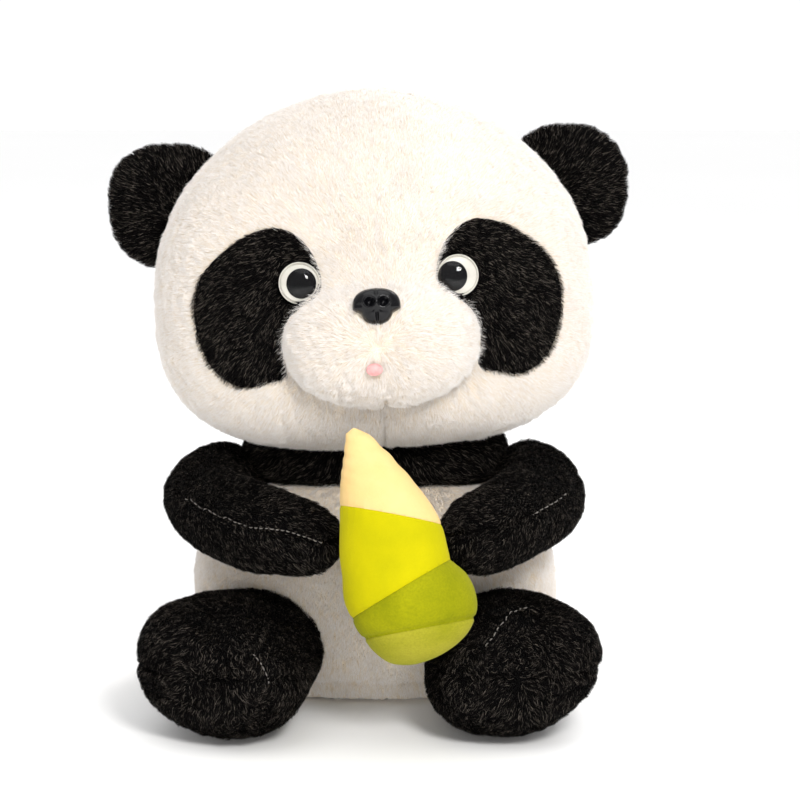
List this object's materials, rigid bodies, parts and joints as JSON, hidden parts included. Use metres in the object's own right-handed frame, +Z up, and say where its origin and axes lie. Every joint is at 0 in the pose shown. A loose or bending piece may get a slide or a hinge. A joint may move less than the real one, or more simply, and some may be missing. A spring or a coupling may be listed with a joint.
{
  "type": "plush panda",
  "caption": "Sitting stuffed panda with a large round head, short limbs and a stuffed bamboo shoot held between its paws; sewn joints let the head, ears, arms and legs flex.",
  "frame": {"origin": "centre of the flat seat panel, on the surface that the panda sits on", "axes": "+Z up through the head, the panda faces -Y, and its own left side is +X"},
  "size_m": [0.2383, 0.2179, 0.2729],
  "materials": {
    "cream_plush": "short dense cream plush pile",
    "black_plush": "short dense black plush pile",
    "yellow_velvet": "smooth short velvet, pale yellow",
    "lime_velvet": "smooth short velvet, lime",
    "olive_velvet": "short velvet with a visible nap, olive green",
    "leaf_velvet": "short velvet with a visible nap, leaf green",
    "fibre_filling": "white polyester fibre filling",
    "white_plastic": "moulded, glossy",
    "black_gloss_plastic": "moulded, glossy",
    "clear_plastic": "clear moulded dome",
    "washer_plastic": "moulded",
    "black_thread": "heavy sewing thread",
    "pink_thread": "satin-stitched pad",
    "label_satin": "blank woven satin tape"
  },
  "bodies": {
    "torso": {"belly_panel": "cream_plush", "lower_back_panel": "cream_plush", "chest_band": "black_plush", "shoulder_panel": "black_plush", "seat_panel": "cream_plush", "torso_stuffing": "fibre_filling"},
    "neck_seam": {"neck_seam_thread": "black_thread"},
    "neck_filling": {"neck_stuffing": "fibre_filling"},
    "head": {"face_panel_left": "cream_plush", "eye_patch_left": "black_plush", "head_back_panel_left": "cream_plush", "eye_base_left": "white_plastic", "pupil_left": "black_gloss_plastic", "eye_dome_left": "clear_plastic", "eye_washer_left": "washer_plastic", "face_panel_right": "cream_plush", "eye_patch_right": "black_plush", "head_back_panel_right": "cream_plush", "eye_base_right": "white_plastic", "pupil_right": "black_gloss_plastic", "eye_dome_right": "clear_plastic", "eye_washer_right": "washer_plastic", "muzzle_cover": "cream_plush", "head_stuffing": "fibre_filling", "muzzle_stuffing": "fibre_filling", "nose": "black_gloss_plastic", "nose_washer": "washer_plastic", "mouth_embroidery": "pink_thread"},
    "ear_left": {"ear_front_panel_left": "black_plush", "ear_back_panel_left": "black_plush", "ear_stuffing_left": "fibre_filling"},
    "arm_left": {"arm_upper_panel_left": "black_plush", "arm_lower_panel_left": "black_plush", "arm_stuffing_left": "fibre_filling"},
    "leg_left": {"leg_upper_panel_left": "black_plush", "leg_lower_panel_left": "black_plush", "leg_stuffing_left": "fibre_filling"},
    "ear_right": {"ear_front_panel_right": "black_plush", "ear_back_panel_right": "black_plush", "ear_stuffing_right": "fibre_filling"},
    "arm_right": {"arm_upper_panel_right": "black_plush", "arm_lower_panel_right": "black_plush", "arm_stuffing_right": "fibre_filling"},
    "leg_right": {"leg_upper_panel_right": "black_plush", "leg_lower_panel_right": "black_plush", "leg_stuffing_right": "fibre_filling"},
    "shoot": {"shoot_tip_panel": "yellow_velvet", "shoot_middle_panel": "lime_velvet", "shoot_lower_panel": "olive_velvet", "shoot_base_panel": "leaf_velvet", "shoot_stuffing": "fibre_filling"},
    "tail": {"tail_cover": "cream_plush", "tail_stuffing": "fibre_filling"},
    "label": {"care_label": "label_satin"}
  },
  "joints": [
    {"name": "head_turn", "type": "hinge", "parent": "torso", "child": "neck_seam", "pos_m": [0, 0.002, 0.106], "axis": [0, 0, 1], "range_deg": [-15, 15], "stiffness_Nm_per_rad": 1.5},
    {"name": "head_nod", "type": "hinge", "parent": "neck_seam", "child": "neck_filling", "pos_m": [0, 0.002, 0.106], "axis": [-1, 0, 0], "range_deg": [-5, 12], "stiffness_Nm_per_rad": 2},
    {"name": "head_tilt", "type": "hinge", "parent": "neck_filling", "child": "head", "pos_m": [0, 0.002, 0.106], "axis": [0, 1, 0], "range_deg": [-6, 6], "stiffness_Nm_per_rad": 2},
    {"name": "ear_left_fold", "type": "hinge", "parent": "head", "child": "ear_left", "pos_m": [0.08345, 0.00909, 0.22672], "axis": [0.5367, 0.0263, -0.8434], "range_deg": [-18, 18], "stiffness_Nm_per_rad": 0.05},
    {"name": "ear_right_fold", "type": "hinge", "parent": "head", "child": "ear_right", "pos_m": [-0.08878, 0.00067, 0.21919], "axis": [0.4612, 0.0226, 0.887], "range_deg": [-18, 18], "stiffness_Nm_per_rad": 0.05},
    {"name": "arm_left_lift", "type": "hinge", "parent": "torso", "child": "arm_left", "pos_m": [0.064, 0.004, 0.092], "axis": [-1, 0, 0], "range_deg": [0, 6], "stiffness_Nm_per_rad": 1},
    {"name": "arm_right_lift", "type": "hinge", "parent": "torso", "child": "arm_right", "pos_m": [-0.064, 0.004, 0.092], "axis": [-1, 0, 0], "range_deg": [0, 6], "stiffness_Nm_per_rad": 1},
    {"name": "shoot_tilt", "type": "hinge", "parent": "arm_left", "child": "shoot", "pos_m": [0.01, -0.108, 0.086], "axis": [-1, 0, 0], "range_deg": [0, 4], "stiffness_Nm_per_rad": 0.3},
    {"name": "leg_left_spread", "type": "hinge", "parent": "torso", "child": "leg_left", "pos_m": [0.084, -0.033, 0.03], "axis": [0, 0, 1], "range_deg": [0, 12], "stiffness_Nm_per_rad": 0.8},
    {"name": "leg_right_spread", "type": "hinge", "parent": "torso", "child": "leg_right", "pos_m": [-0.084, -0.033, 0.03], "axis": [0, 0, -1], "range_deg": [0, 12], "stiffness_Nm_per_rad": 0.8},
    {"name": "tail_wag", "type": "hinge", "parent": "torso", "child": "tail", "pos_m": [0, 0.062, 0.024], "axis": [0, 0, 1], "range_deg": [-8, 8], "stiffness_Nm_per_rad": 0.05},
    {"name": "label_fold", "type": "hinge", "parent": "torso", "child": "label", "pos_m": [0.0546, 0.0542, 0.017], "axis": [0, 0, 1], "range_deg": [-45, 45], "stiffness_Nm_per_rad": 0.001}
  ],
  "couplings": [
    {"joint": "arm_right_lift", "follows": "arm_left_lift", "ratio": 1}
  ]
}
